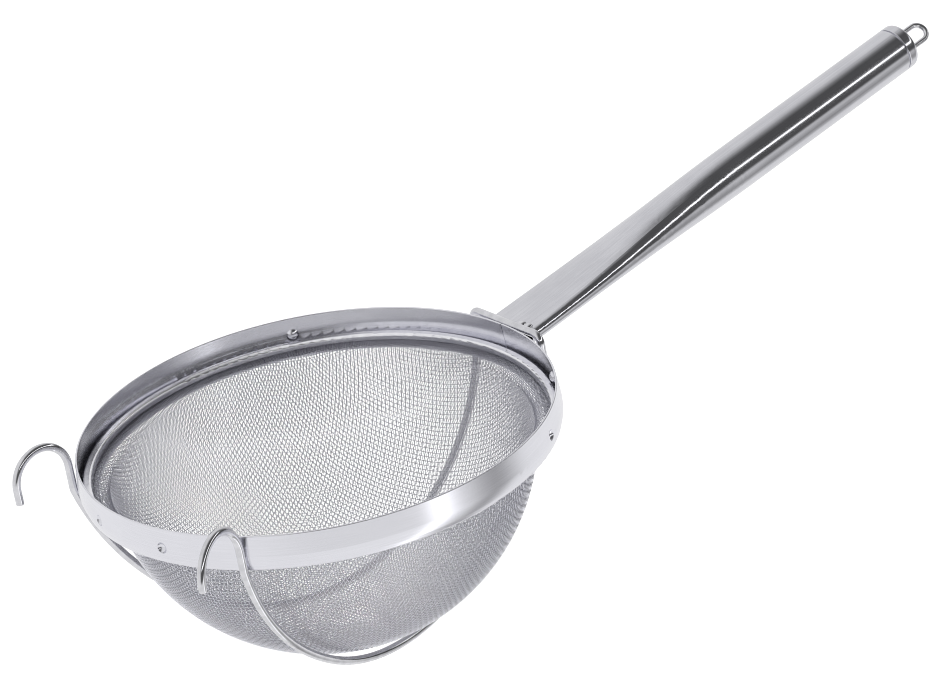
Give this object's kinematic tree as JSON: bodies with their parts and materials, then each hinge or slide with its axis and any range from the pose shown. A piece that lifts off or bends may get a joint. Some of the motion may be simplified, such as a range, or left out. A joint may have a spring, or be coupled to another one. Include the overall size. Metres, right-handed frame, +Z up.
{
  "type": "double sieve strainer",
  "caption": "Round double-walled mesh strainer with a steel rim band, wire cradle with rest hooks, long tube handle and hanging loop.",
  "frame": {"origin": "centre of the band's top edge circle, the mouth of the bowl", "axes": "+Z up out of the bowl, +X from the bowl towards the handle"},
  "size_m": [0.5356, 0.2322, 0.1646],
  "materials": {
    "satin_band": "fine satin rolled strip",
    "bright_ring": "bright drawn",
    "fine_cloth": "bright woven wire",
    "coarse_cloth": "bright woven wire",
    "bright_wire": "polished round wire",
    "satin_tube": "lengthwise satin"
  },
  "bodies": {
    "root": {"rim_band": "satin_band", "clamp_ring": "bright_ring", "fine_mesh_bowl": "fine_cloth", "coarse_mesh_bowl": "coarse_cloth", "support_wire": "bright_wire", "handle_tube": "satin_tube", "end_cap": "satin_tube", "hanging_loop": "bright_wire", "weld_beads": "bright_wire"}
  },
  "joints": []
}
